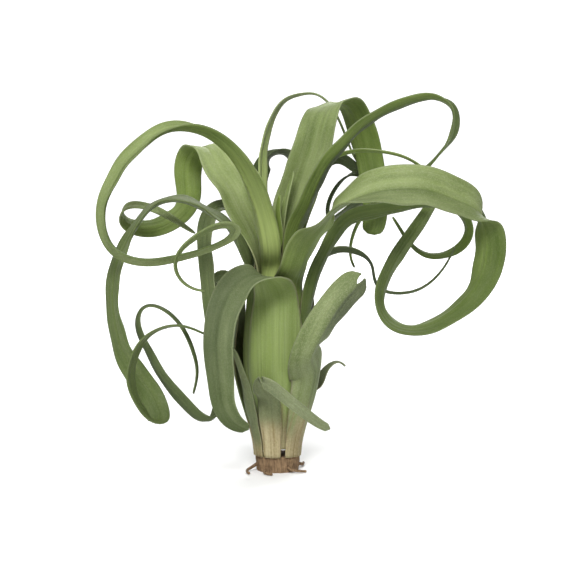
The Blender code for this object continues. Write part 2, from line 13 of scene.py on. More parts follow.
import bpy
import numpy as np
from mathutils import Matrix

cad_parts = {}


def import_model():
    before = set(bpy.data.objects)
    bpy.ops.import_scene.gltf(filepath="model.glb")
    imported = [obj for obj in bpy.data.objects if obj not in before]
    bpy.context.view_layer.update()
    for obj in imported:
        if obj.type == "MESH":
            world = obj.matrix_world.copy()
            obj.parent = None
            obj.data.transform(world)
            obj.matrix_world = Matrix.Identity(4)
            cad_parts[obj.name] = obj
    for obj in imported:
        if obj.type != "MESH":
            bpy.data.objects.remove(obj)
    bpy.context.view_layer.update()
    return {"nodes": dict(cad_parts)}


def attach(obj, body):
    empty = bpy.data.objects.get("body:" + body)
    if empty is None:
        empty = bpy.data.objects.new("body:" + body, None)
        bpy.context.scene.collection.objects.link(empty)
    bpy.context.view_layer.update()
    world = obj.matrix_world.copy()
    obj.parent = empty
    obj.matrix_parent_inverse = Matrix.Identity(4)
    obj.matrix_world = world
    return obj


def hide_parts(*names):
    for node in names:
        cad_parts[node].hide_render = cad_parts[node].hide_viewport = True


MM = 0.001                # one millimetre, in metres
BODY = "root"             # the one body that every piece rides on
SEED_STEP = 0.73          # sets each leaf's waves and markings apart from the last one's
LOG = logging.getLogger("air_plant")


class Tone(Enum):
    """The tones that a leaf comes in. Each is a material slot of the record."""

    GREY = "grey"
    FRESH = "fresh"
    # painted shade: the tone of the leaves that lie back in shade
    DARK = "dark"
    OLD = "old"


def ease(start: float, end: float, value: np.ndarray) -> np.ndarray:
    """Rise smoothly from 0 at start to 1 at end."""
    share = np.clip((value - start) / (end - start), 0, 1)
    return share * share * (3 - 2 * share)


def unit(vectors: np.ndarray) -> np.ndarray:
    """Scale each vector to length 1."""
    return vectors / np.linalg.norm(vectors, axis=-1, keepdims=True)


def dot(a: np.ndarray, b: np.ndarray) -> np.ndarray:
    """Dot product of each pair of rows, as a column."""
    return np.sum(a * b, axis=-1, keepdims=True)


def lengths_along(points: np.ndarray) -> np.ndarray:
    """Length along a line of points up to each of them."""
    steps = np.linalg.norm(np.diff(points[:, :3], axis=0), axis=1)
    return np.concatenate([[0.0], np.cumsum(steps)])


def read_at(values: np.ndarray, known: np.ndarray, wanted: np.ndarray) -> np.ndarray:
    """Read a row of numbers, or each column of a table, at the wanted places."""
    if values.ndim == 1:
        return np.interp(wanted, known, values)
    return np.stack([np.interp(wanted, known, column) for column in values.T], axis=1)


def deselect_all() -> None:
    """Leave nothing selected, so that an operator acts on the next piece alone."""
    if bpy.context.object and bpy.context.object.mode != "OBJECT":
        bpy.ops.object.mode_set(mode="OBJECT")
    bpy.ops.object.select_all(action="DESELECT")


def make_active(item: bpy.types.Object) -> None:
    """Select one object alone and make it the active one."""
    deselect_all()
    item.select_set(True)
    bpy.context.view_layer.objects.active = item


def apply_modifier(item: bpy.types.Object, kind: str, settings: dict[str, Any]) -> None:
    """Add a modifier, set it and apply it.

    Args:
        item: The object that gets it.
        kind: The modifier's type, such as SOLIDIFY.
        settings: The modifier's properties by name.
    """
    make_active(item)
    modifier = item.modifiers.new(kind.lower(), kind)
    for name, value in settings.items():
        setattr(modifier, name, value)
    bpy.ops.object.modifier_apply(modifier=modifier.name)


def settle(item: bpy.types.Object, name: str) -> None:
    """Name a piece and put its place into its mesh."""
    make_active(item)
    item.name = name
    item.data.name = name
    bpy.ops.object.transform_apply(location=True, rotation=True, scale=True)


def point_attribute(mesh: bpy.types.Mesh, name: str, values: np.ndarray) -> None:
    """Store one number at each corner of a mesh."""
    attribute = mesh.attributes.new(name, "FLOAT", "POINT")
    attribute.data.foreach_set("value", np.asarray(values, dtype=np.float32))


@dataclass(frozen=True)
class Value:
    """A socket of a shader, on which Python's operators add Math nodes."""

    shader: "Shader"
    socket: bpy.types.NodeSocket

    def math(self, operation: str, a: Any, b: Any = 0.0) -> "Value":
        """A Math node on two values.

        Args:
            operation: The node's operation, such as ADD.
            a: The first value or number.
            b: The second value or number.

        Returns:
            The node's result.
        """
        return self.shader.node("ShaderNodeMath", {"operation": operation}, {0: a, 1: b})

    def __add__(self, other: Any) -> "Value":
        """self + other."""
        return self.math("ADD", self, other)

    def __radd__(self, other: Any) -> "Value":
        """other + self."""
        return self.math("ADD", other, self)

    def __sub__(self, other: Any) -> "Value":
        """self - other."""
        return self.math("SUBTRACT", self, other)

    def __rsub__(self, other: Any) -> "Value":
        """other - self."""
        return self.math("SUBTRACT", other, self)

    def __mul__(self, other: Any) -> "Value":
        """self * other."""
        return self.math("MULTIPLY", self, other)

    def __rmul__(self, other: Any) -> "Value":
        """other * self."""
        return self.math("MULTIPLY", other, self)

    def __pow__(self, other: Any) -> "Value":
        """self ** other."""
        return self.math("POWER", self, other)

    def __abs__(self) -> "Value":
        """The size of self, without its sign."""
        return self.math("ABSOLUTE", self)

    def rise(self, start: float, end: float) -> "Value":
        """0 up to start, 1 from end on, and smooth between them. start may be above end."""
        settings = {"interpolation_type": "SMOOTHSTEP"}
        return self.shader.node("ShaderNodeMapRange", settings, {0: self, 1: start, 2: end})


class Shader:
    """One material's nodes, written as expressions."""

    def __init__(self, name: str) -> None:
        """Start a material with one Principled shader."""
        self.material = bpy.data.materials.new(name)
        self.material.use_nodes = True
        self.tree = self.material.node_tree
        self.principled = self.tree.nodes["Principled BSDF"]

    def plug(self, socket: bpy.types.NodeSocket, value: Any) -> None:
        """Link a socket to a value, or set it to a number, colour or vector."""
        if isinstance(value, Value):
            self.tree.links.new(value.socket, socket)
        elif isinstance(value, tuple) and len(value) == 3 and socket.type == "RGBA":
            socket.default_value = (*value, 1.0)
        else:
            socket.default_value = value

    def node(self, kind: str, settings: dict[str, Any], inputs: dict[Any, Any],
             output: Any = 0) -> Value:
        """Add any node.

        Args:
            kind: The node's type.
            settings: Its properties, which are set first.
            inputs: Its sockets by index or name, with values or numbers.
            output: The output socket to read, by index or name.

        Returns:
            That output as a value.
        """
        made = self.tree.nodes.new(kind)
        for name, value in settings.items():
            setattr(made, name, value)
        for key, value in inputs.items():
            self.plug(made.inputs[key], value)
        return Value(self, made.outputs[output])

    def place(self) -> Value:
        """Object coordinates, in metres."""
        return self.node("ShaderNodeTexCoord", {}, {}, "Object")

    def attribute(self, name: str) -> Value:
        """A number stored on the mesh."""
        return self.node("ShaderNodeAttribute", {"attribute_name": name}, {}, "Fac")

    def split(self, vector: Value) -> tuple[Value, Value, Value]:
        """The three parts of a vector."""
        parts = self.node("ShaderNodeSeparateXYZ", {}, {0: vector}).socket.node
        return tuple(Value(self, output) for output in parts.outputs)

    def vector(self, x: Any, y: Any, z: Any) -> Value:
        """A vector of three values."""
        return self.node("ShaderNodeCombineXYZ", {}, {0: x, 1: y, 2: z})

    def noise(self, vector: Value, scale: float, detail: float = 2.0) -> Value:
        """Noise of about -0.5 to 0.5."""
        inputs = {"Vector": vector, "Scale": scale, "Detail": detail}
        return self.node("ShaderNodeTexNoise", {}, inputs, "Fac") - 0.5

    def blend(self, factor: Any, low: Any, high: Any) -> Value:
        """Mix two colours.

        Args:
            factor: 0 for low, 1 for high.
            low: A colour or a value.
            high: A colour or a value.

        Returns:
            The mixed colour.
        """
        made = self.tree.nodes.new("ShaderNodeMix")
        made.data_type = "RGBA"
        made.clamp_factor = True
        self.plug(made.inputs[0], factor)
        self.plug(made.inputs[6], low)
        self.plug(made.inputs[7], high)
        return Value(self, made.outputs[2])

    def bump(self, height: Value, depth: float) -> None:
        """Raise the surface by a height of 0 to 1 times a depth in metres."""
        normal = self.node("ShaderNodeBump", {}, {"Height": height, "Distance": depth}, "Normal")
        self.plug(self.principled.inputs["Normal"], normal)

    def finish(self, inputs: dict[str, Any]) -> bpy.types.Material:
        """Set the Principled shader's sockets by name and return the material."""
        for name, value in inputs.items():
            self.plug(self.principled.inputs[name], value)
        return self.material


Colour = tuple[float, float, float]


@dataclass(frozen=True)
class LeafFinish:
    """The skin of a leaf: green under a silvery dust of fine scales.

    The leaf's own map gives millimetres across the midrib and along the leaf, so veins follow
    every curl. The upper face is paler and dustier than the back, except on the grey leaves,
    where it is darkened as painted shade.
    """

    name: str
    back: Colour              # the green of the back, where the tissue is thin or sunlit
    back_deep: Colour         # the green of the back, where it is thick
    face: Colour              # the same for the upper face
    face_deep: Colour
    dust: Colour = (0.32, 0.35, 0.205)
    face_dust: float = 0.34   # how much of the dust lies on the upper face
    back_dust: float = 0.12   # and on the back
    speckle: float = 0.5      # how grainy the dust is
    sheath: Colour = (0.30, 0.37, 0.13)
    blush: Colour = (0.115, 0.055, 0.035)
    shadow: Colour = (0.020, 0.032, 0.009)
    husk: Colour = (0.22, 0.175, 0.085)
    husk_light: Colour = (0.40, 0.35, 0.21)
    husk_top: float = 0.020   # height up to which the sheath has dried, in metres
    rough: float = 0.56
    vein: float = 0.8         # spacing of the fine veins, in millimetres
    vein_dark: Colour = (0.02, 0.035, 0.008)
    bump_depth: float = 0.00025
    gloss: float = 0.14

    def material(self) -> bpy.types.Material:
        """Build the material."""
        shader = Shader(self.name)
        skin = shader.node("ShaderNodeUVMap", {"uv_map": "leaf"}, {})
        across_mm, along_mm, _ = shader.split(skin)
        across, past, inner, seed, shade, dusty, pale = (
            shader.attribute(name)
            for name in ("across", "past", "inner", "seed", "shade", "dusty", "pale"))
        _, _, height = shader.split(shader.place())

        def streaks(width: float, length: float, detail: float = 2.0) -> Value:
            """Noise drawn out along the leaf, with a width and a length in millimetres."""
            where = shader.vector(across_mm * (1 / width), along_mm * (1 / length), seed)
            return shader.noise(where, 1.0, detail)

        veins = streaks(self.vein, 40.0)
        bands = streaks(3.0, 70.0)
        patches = streaks(8.0, 18.0)
        scales = streaks(0.30, 0.42, 1.0)
        crumbs = streaks(0.7, 1.0, 3.0)

        thickness = 0.5 + patches * 1.4 + bands * 1.2
        green = shader.blend(inner, shader.blend(thickness, self.back_deep, self.back),
                             shader.blend(thickness, self.face_deep, self.face))
        midrib = abs(across).rise(0.14, 0.0)
        green = shader.blend(midrib * 0.35, green, shader.blend(inner, self.back, self.face))
        margin = abs(across).rise(0.88, 1.0)
        green = shader.blend(margin * 0.40, green, self.dust)
        green = shader.blend(past.rise(4.0, -22.0) * 0.75, green, self.sheath)
        # painted light, partly the foot's own pale green: some blades' feet are lifted to the
        # sheath green
        green = shader.blend(past.rise(75.0, 15.0) * pale, green, self.sheath)
        # painted shade: the leaf's green sinks to the shadow colour by its shade attribute
        green = shader.blend(shade, green, self.shadow)
        neck = past.rise(-26.0, -8.0) * past.rise(18.0, 0.0)
        green = shader.blend(neck * inner * 0.22, green, self.blush)
        green = shader.blend(neck * margin * 0.50, green, self.blush)
        # painted shade: far out along the blade the green sinks to the deep green, then to the
        # shadow colour
        green = shader.blend(past.rise(50.0, 140.0) * 0.50, green, self.back_deep)
        green = shader.blend(past.rise(90.0, 190.0) * 0.30, green, self.shadow)
        furrowed = shader.blend(0.35, green, self.vein_dark)
        green = shader.blend(0.42 - veins * 2.2, green, furrowed)
        grain = (scales + crumbs * 0.8).rise(-0.10, 0.25)
        coat = self.back_dust + inner * (self.face_dust - self.back_dust)
        # painted shade also thins the dust
        coat = dusty + coat * (1 - shade * 0.75)
        dusted = coat * (0.60 + bands * 1.1 + patches * 1.0 + grain * self.speckle)
        green = shader.blend(dusted, green, self.dust)
        dry = (height + patches * 0.030 + veins * 0.020).rise(self.husk_top + 0.012,
                                                              self.husk_top - 0.008)
        dry = dry * past.rise(-6.0, -16.0)
        husk = shader.blend(0.4 + veins * 2.4 + crumbs, self.husk, self.husk_light)
        colour = shader.blend(dry, green, husk)

        rough = self.rough + crumbs * 0.25 + dusted * 0.20
        shader.bump(veins * 1.2 + bands * 1.4 + scales * 0.30 + crumbs * 0.3, self.bump_depth)
        return shader.finish({
            "Base Color": colour, "Roughness": rough, "Metallic": 0.0,
            "Subsurface Weight": 0.10, "Subsurface Radius": (0.7, 1.0, 0.3),
            "Subsurface Scale": 0.0012, "Specular IOR Level": self.gloss})


FINISHES = {
    Tone.GREY: LeafFinish(
        "grey_leaf", back=(0.178, 0.252, 0.052), back_deep=(0.096, 0.148, 0.022),
        # painted shade: the grey tone's upper face is dark for the front strap that hangs in
        # shade
        face=(0.074, 0.102, 0.034), face_deep=(0.036, 0.056, 0.013), face_dust=0.24,
        back_dust=0.24, sheath=(0.205, 0.278, 0.068), rough=0.60),
    Tone.FRESH: LeafFinish(
        "fresh_leaf", back=(0.172, 0.246, 0.036), back_deep=(0.074, 0.118, 0.011),
        face=(0.190, 0.258, 0.062), face_deep=(0.088, 0.132, 0.020),
        sheath=(0.360, 0.440, 0.140)),
    # painted shade: a shaded copy of the leaf green, for the leaves that lie back in shade
    Tone.DARK: LeafFinish(
        "dark_leaf", back=(0.085, 0.120, 0.034), back_deep=(0.042, 0.065, 0.014),
        face=(0.115, 0.155, 0.050), face_deep=(0.060, 0.088, 0.024), face_dust=0.20,
        back_dust=0.12, sheath=(0.110, 0.150, 0.045), rough=0.60),
    Tone.OLD: LeafFinish(
        "old_leaf", back=(0.120, 0.145, 0.062), back_deep=(0.055, 0.074, 0.030),
        face=(0.130, 0.158, 0.075), face_deep=(0.070, 0.088, 0.040), face_dust=0.34,
        back_dust=0.26, sheath=(0.190, 0.185, 0.085), husk_top=0.026, rough=0.74),
}


@dataclass(frozen=True)
class BarkFinish:
    """Dry brown fibre, for the stem base and the roots."""

    name: str = "stem_fibre"
    light: Colour = (0.30, 0.20, 0.11)
    deep: Colour = (0.085, 0.050, 0.028)

    def material(self) -> bpy.types.Material:
        """Build the material."""
        shader = Shader(self.name)
        place = shader.place()
        x, y, z = shader.split(place)
        fibres = shader.noise(shader.vector(x, y, z * 0.12), 1600.0, 4.0)
        lumps = shader.noise(place, 420.0, 3.0)
        colour = shader.blend(0.5 + fibres * 1.8 + lumps * 0.9, self.deep, self.light)
        shader.bump(fibres + lumps * 1.5, 0.0006)
        return shader.finish({
            "Base Color": colour, "Roughness": 0.86 + lumps * 0.2,
            "Specular IOR Level": 0.2})


@dataclass(frozen=True)
class FloorFinish:
    """The plain pale floor."""

    name: str = "floor"
    colour: Colour = (0.90, 0.90, 0.90)
    glow: float = 0.75        # evens out the light over the sweep behind the plant
    glow_from: float = 0.25   # the glow sets in this far from the plant, in metres
    glow_full: float = 1.60

    def material(self) -> bpy.types.Material:
        """Build the material."""
        shader = Shader(self.name)
        x, y, z = shader.split(shader.place())
        far = ((x * x + y * y + z * z) ** 0.5).rise(self.glow_from, self.glow_full)
        return shader.finish({
            "Base Color": self.colour, "Roughness": 0.7,
            "Emission Color": shader.blend(far, (0, 0, 0), self.colour),
            "Emission Strength": self.glow})


@dataclass(frozen=True)
class Bulb:
    """The bulb of nested sheaths. Layer 0 is the heart, and heights are in millimetres."""

    widest_z: float = 50.0
    neck_z: float = 92.0
    neck_narrowing: float = 0.20
    heart_radius: float = 3.6
    layer_pitch: float = 2.2
    fullness: float = 1.7
    foot_z: float = 32.0
    foot_z_step: float = 3.6
    foot_radius_heart: float = 2.6
    foot_radius_step: float = 1.05

    def foot_height(self, layer: int) -> float:
        """Height at which a layer's sheaths start on the stem."""
        return self.foot_z - self.foot_z_step * layer

    def shell_radius(self, layer: int, height: np.ndarray) -> np.ndarray:
        """Radius of the middle of a layer's sheaths at a height."""
        foot = self.foot_radius_heart + self.foot_radius_step * layer
        start = self.foot_height(layer)
        widest = self.heart_radius + self.layer_pitch * layer
        rise = np.clip((height - start) / (self.widest_z - start), 0, 1)
        swell = np.sin(rise * math.pi / 2) ** self.fullness
        return (foot + (widest - foot) * swell) * (
            1 - self.neck_narrowing * ease(self.widest_z, self.neck_z, height))


BULB = Bulb()


@dataclass(frozen=True)
class Route:
    """How a leaf's list of points becomes a smooth line. Lengths are in millimetres."""

    sheath_step: float = 6.0
    span_points: int = 20
    fine_step: float = 0.5
    smoothing: float = 3.5
    evening_fade: float = 15.0
    sheath_kept: float = 0.9

    def curve_through(self, points: np.ndarray) -> np.ndarray:
        """Centripetal Catmull-Rom curve through points, with even spacing."""
        ends = np.vstack([2 * points[0] - points[1], points, 2 * points[-1] - points[-2]])
        pieces = []
        for before, start, end, after in zip(ends, ends[1:], ends[2:], ends[3:]):
            knots = [0.0]
            for a, b in ((before, start), (start, end), (end, after)):
                knots.append(knots[-1] + np.linalg.norm((b - a)[:3]) ** 0.5)
            k0, k1, k2, k3 = knots
            k = np.linspace(k1, k2, self.span_points, endpoint=False)[:, None]
            first = (before * (k1 - k) + start * (k - k0)) / (k1 - k0)
            middle = (start * (k2 - k) + end * (k - k1)) / (k2 - k1)
            last = (end * (k3 - k) + after * (k - k2)) / (k3 - k2)
            left = (first * (k2 - k) + middle * (k - k0)) / (k2 - k0)
            right = (middle * (k3 - k) + last * (k - k1)) / (k3 - k1)
            pieces.append((left * (k2 - k) + right * (k - k1)) / (k2 - k1))
        line = np.vstack(pieces + [points[-1:]])
        known = lengths_along(line)
        count = round(known[-1] / self.fine_step) + 1
        return read_at(line, known, np.linspace(0, known[-1], count))

    def evened(self, line: np.ndarray, kept: int) -> np.ndarray:
        """Average a fine line twice, past its first kept points."""
        reach = round(self.smoothing / self.fine_step)
        index = np.arange(len(line))
        weight = np.clip((len(line) - 1 - index) / (2 * reach), 0, 1)
        weight = weight * np.clip((index - kept) * self.fine_step / self.evening_fade, 0, 1)
        for _ in range(2):
            before = np.repeat(line[:1], reach + 1, axis=0)
            after = np.repeat(line[-1:], reach, axis=0)
            sums = np.cumsum(np.vstack([before, line, after]), axis=0)
            mean = (sums[2 * reach + 1:] - sums[:-2 * reach - 1]) / (2 * reach + 1)
            line = line + (mean - line) * weight[:, None]
        return line


ROUTE = Route()


@dataclass(frozen=True)
class Ribbon:
    """A leaf's fine line: places, directions, half widths and half arcs, one entry a step."""

    middle: np.ndarray
    width: np.ndarray
    outside: np.ndarray
    half_width: np.ndarray
    arc: np.ndarray
    past_sheath: np.ndarray
    share: np.ndarray


@dataclass(frozen=True)
class Leaf:
    """One leaf: a sheath on its shell of the bulb, then a blade that curls along a route.

    Angles are in degrees and lengths in millimetres. way holds the blade's route as
    (x, y, z, roll). A roll of 0 turns the blade's width towards +Y, and it grows
    counter-clockwise as seen against the growth.
    """

    name: str
    azimuth: float            # the side of the bulb that the sheath lies on
    layer: int
    wrap: float               # half of the angle that the sheath takes round the bulb
    depart: float             # height where the blade leaves the bulb
    width: float              # half width of the blade where it leaves the bulb
    taper: float              # power of the taper, small for a strap
    way: tuple
    tone: Tone = Tone.FRESH
    channel: float = 38.0     # half arc of the blade's hollow
    tip: float = 0.5          # half width of the tip
    shade: float = 0.0        # painted shade: how far the leaf's green sinks to the shadow colour
    half_shade: float = 0.0   # the same painted shade on one half of the fold, the other half below 0
    dusty: float = 0.0        # how much more dust lies on it than on most leaves
    crease: float = 0.6       # how sharply the blade is folded along its midrib
    pale: float = 0.0         # lifts the blade's foot to the sheath green: partly its own pale green, partly painted light
    notch: float = 0.0        # depth of the notch that parts the tip into two lobes
    end_left: float = 0.35    # share of the width that is left at the rounded end
    neck: float = 22.0        # the blade has its own width from here above its departure
    neck_below: float = 16.0
    turn_below: float = 12.0
    turn_above: float = 8.0
    tip_channel: float = 0.3
    flat_at: float = -60.0    # the hollow flattens this far past the departure
    flat_reach: float = 9.0
    flattening: float = 0.85  # share of the hollow that is lost there
    channel_fade: float = 1.5
    thickness: float = 0.9
    thin_margin: float = 0.5  # share of the thickness that is left at the margin
    across_faces: int = 14
    row_step: float = 1.3     # spacing of the rows along the leaf
    keel: float = 0.35        # how far the midrib stands out
    pleat: float = 0.10       # height of the long pleats beside it
    wave: float = 0.35        # height of the soft waves of the margin
    wave_length: float = 17.0
    freed_over: float = 30.0  # waves and the fold set in over this length past the departure
    notch_width: float = 0.22     # share of the half width, as are the next two
    keel_width: float = 0.13
    shade_border: float = 0.16
    notch_from: float = 0.88  # share of the leaf's length at which the notch may start
    pleat_turn: float = 15.0  # radians of the pleats' wave over the half width

    def width_direction(self, growth: np.ndarray, roll: float) -> np.ndarray:
        """Direction of the blade's width for a growth direction and a roll in radians."""
        square = unit(np.array([0.0, 1.0, 0.0]) - growth[1] * growth)
        return square * math.cos(roll) + np.cross(growth, square) * math.sin(roll)

    def sides(self) -> tuple[np.ndarray, np.ndarray]:
        """Directions away from the axis and round it, on the sheath's side."""
        turn = math.radians(self.azimuth)
        outward = np.array([math.cos(turn), math.sin(turn), 0.0])
        return outward, np.array([-math.sin(turn), math.cos(turn), 0.0])

    def route(self) -> np.ndarray:
        """Fine line of the midrib, with the direction of the width in columns 3 to 5."""
        outward, around = self.sides()
        start = BULB.foot_height(self.layer)
        rise = self.depart - start
        heights = np.linspace(start, self.depart, int(rise / ROUTE.sheath_step) + 1)
        sheath = [outward * BULB.shell_radius(self.layer, z) + [0, 0, z] for z in heights]
        points = np.array(sheath + [np.array(stop[:3], float) for stop in self.way])
        growth = unit(np.vstack([points[1:2] - points[:1], points[2:] - points[:-2],
                                 points[-1:] - points[-2:-1]]))
        widths = [around] * len(sheath)
        for direction, stop in zip(growth[len(sheath):], self.way):
            widths.append(self.width_direction(direction, math.radians(stop[3])))
        line = ROUTE.curve_through(np.hstack([points, np.array(widths)]))
        return ROUTE.evened(line, int(rise / ROUTE.fine_step * ROUTE.sheath_kept))

    def ribbon(self) -> Ribbon:
        """The leaf's directions, widths and hollow along its route."""
        outward, around = self.sides()
        line = self.route()
        middle = line[:, :3]
        growth = unit(np.gradient(middle, axis=0))
        width = unit(line[:, 3:] - dot(line[:, 3:], growth) * growth)
        along = lengths_along(middle)
        departure = along[np.argmax(middle[:, 2] > self.depart - ROUTE.fine_step)]
        free = ease(departure - self.turn_below, departure + self.turn_above, along)[:, None]
        outside = unit(outward * (1 - free) + np.cross(width, growth) * free)
        width = unit(around * (1 - free) + width * free)
        share = np.clip((along - departure) / (along[-1] - departure), 0, 1)
        blade = self.tip + (self.width - self.tip) * (1 - share) ** self.taper
        end = np.clip((along[-1] - along) / self.tip, 0, 1)
        blade = blade * (self.end_left + (1 - self.end_left) * np.sqrt(end * (2 - end)))
        channel = math.radians(self.channel) * (
            self.tip_channel + (1 - self.tip_channel) * (1 - share) ** self.channel_fade)
        from_flat = (along - departure - self.flat_at) / self.flat_reach
        channel = channel * (1 - self.flattening * np.exp(-from_flat ** 2))
        wrap = math.radians(self.wrap)
        sheath = BULB.shell_radius(self.layer, middle[:, 2]) * wrap
        opened = ease(departure - self.neck_below, departure + self.neck, along)
        return Ribbon(middle, width, outside, sheath * (1 - opened) + blade * opened,
                      wrap * (1 - opened) + channel * opened, along - departure, share)

    def grid(self, rows: int) -> bpy.types.Object:
        """A flat sheet of rows, two units wide and two long."""
        deselect_all()
        bpy.ops.mesh.primitive_grid_add(
            x_subdivisions=self.across_faces, y_subdivisions=rows, size=2.0, calc_uvs=True)
        return bpy.context.object

    def lay(self, sheet: bpy.types.Object, ribbon: Ribbon, seed: float) -> np.ndarray:
        """Lay a flat sheet along the leaf's route and store its map.

        Args:
            sheet: The grid, two units wide and two long.
            ribbon: The leaf's fine line.
            seed: A number that sets this leaf's waves and markings apart.

        Returns:
            The outward direction at each corner.
        """
        mesh = sheet.data
        count = len(mesh.vertices)
        flat = np.empty(count * 3)
        mesh.vertices.foreach_get("co", flat)
        flat = flat.reshape(-1, 3)
        across = flat[:, :1]
        place = (flat[:, 1] + 1) / 2
        parted = self.notch / ROUTE.fine_step * np.exp(-(flat[:, 0] / self.notch_width) ** 2)
        steps = place * (len(ribbon.share) - 1) - parted * ease(self.notch_from, 1.0, place)
        index = np.arange(len(ribbon.share))

        def read(values: np.ndarray) -> np.ndarray:
            """Read a value of the ribbon at each corner."""
            return read_at(values, index, steps)

        width, outside = unit(read(ribbon.width)), unit(read(ribbon.outside))
        half, arc = read(ribbon.half_width)[:, None], read(ribbon.arc)[:, None]
        past, share = read(ribbon.past_sheath)[:, None], read(ribbon.share)[:, None]
        angle = arc * across
        bow = half / arc
        freed = ease(0, self.freed_over, past)
        free = freed * (1 - share) ** 0.3
        fold = self.crease * freed
        aside = np.sin(angle) * (1 - fold) + np.sin(arc) * across * fold
        inwards = (1 - np.cos(angle)) * (1 - fold) + (1 - np.cos(arc)) * np.abs(across) * fold
        surface = read(ribbon.middle) + bow * (aside * width - inwards * outside)
        normal = np.cos(angle) * outside + np.sin(angle) * width
        broad = np.clip(half / 6, 0, 1)
        relief = self.keel * np.exp(-(across / self.keel_width) ** 2) * (0.35 + 0.65 * free)
        relief = relief + self.pleat * np.cos(across * self.pleat_turn) * (0.4 + 0.6 * free)
        pace = 2 * math.pi / self.wave_length
        ripple = np.sin(past * pace + seed * 5 + np.sign(across))
        drift = np.sin(past * (pace / 1.7) + seed * 3)
        relief = relief + self.wave * free * (ripple + drift) * np.abs(across) ** 2.5
        surface = surface + normal * relief * broad
        mesh.vertices.foreach_set("co", (surface * MM).ravel())
        # painted shade, of the whole leaf and of one half of its fold
        border = self.shade_border
        shaded = ease(-border, border, -across[:, 0] * np.sign(self.half_shade or 1))
        shade = self.shade + abs(self.half_shade) * shaded * ease(5, 45, past[:, 0])
        marks = {"across": across[:, 0], "past": past[:, 0], "seed": np.full(count, seed * 10),
                 "shade": shade, "dusty": np.full(count, self.dusty),
                 "pale": np.full(count, self.pale)}
        for name, values in marks.items():
            point_attribute(mesh, name, values)
        self.store_map(mesh, np.hstack([across * half, past]))
        mesh.update()
        return normal

    def store_map(self, mesh: bpy.types.Mesh, place: np.ndarray) -> None:
        """Store millimetres across and along the leaf as its map."""
        corners = np.empty(len(mesh.loops), dtype=np.int32)
        mesh.loops.foreach_get("vertex_index", corners)
        layer = mesh.uv_layers[0]
        layer.name = "leaf"
        layer.data.foreach_set("uv", place[corners].astype(np.float32).ravel())

    def thicken(self, sheet: bpy.types.Object) -> None:
        """Give the laid sheet its thickness, thin towards the margins."""
        group = sheet.vertex_groups.new(name="thickness")
        across = np.empty(len(sheet.data.vertices), dtype=np.float32)
        sheet.data.attributes["across"].data.foreach_get("value", across)
        for index, place in enumerate(across):
            group.add([index], 1 - (1 - self.thin_margin) * float(place) ** 4, "REPLACE")
        apply_modifier(sheet, "SOLIDIFY", {
            "thickness": self.thickness * MM, "offset": 0.0, "vertex_group": "thickness"})
        sheet.vertex_groups.clear()

    def mark_inner(self, leaf: bpy.types.Object, normal: np.ndarray) -> None:
        """Mark the face of the leaf that is turned to the plant's heart."""
        mesh = leaf.data
        count = len(normal)
        place = np.empty(len(mesh.vertices) * 3)
        mesh.vertices.foreach_get("co", place)
        place = place.reshape(-1, 3)
        first_is_outer = np.sum((place[:count] - place[count:2 * count]) * normal) > 0
        inner = np.zeros(len(place))
        inner[count:] = 1
        point_attribute(mesh, "inner", inner if first_is_outer else 1 - inner)

    def build(self, seed: float) -> bpy.types.Object:
        """Make the leaf, dress it and put it on the frame.

        Args:
            seed: A number that sets this leaf's waves and markings apart.

        Returns:
            The finished piece.
        """
        ribbon = self.ribbon()
        rows = int(lengths_along(ribbon.middle)[-1] / self.row_step)
        leaf = self.grid(rows)
        normal = self.lay(leaf, ribbon, seed)
        self.thicken(leaf)
        self.mark_inner(leaf, normal)
        settle(leaf, self.name.removeprefix("leaf_") + "_leaf")
        bpy.ops.object.shade_smooth()
        leaf.data.materials.clear()
        leaf.data.materials.append(bpy.data.materials[FINISHES[self.tone].name])
        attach(leaf, BODY)
        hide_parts(self.name)
        return leaf


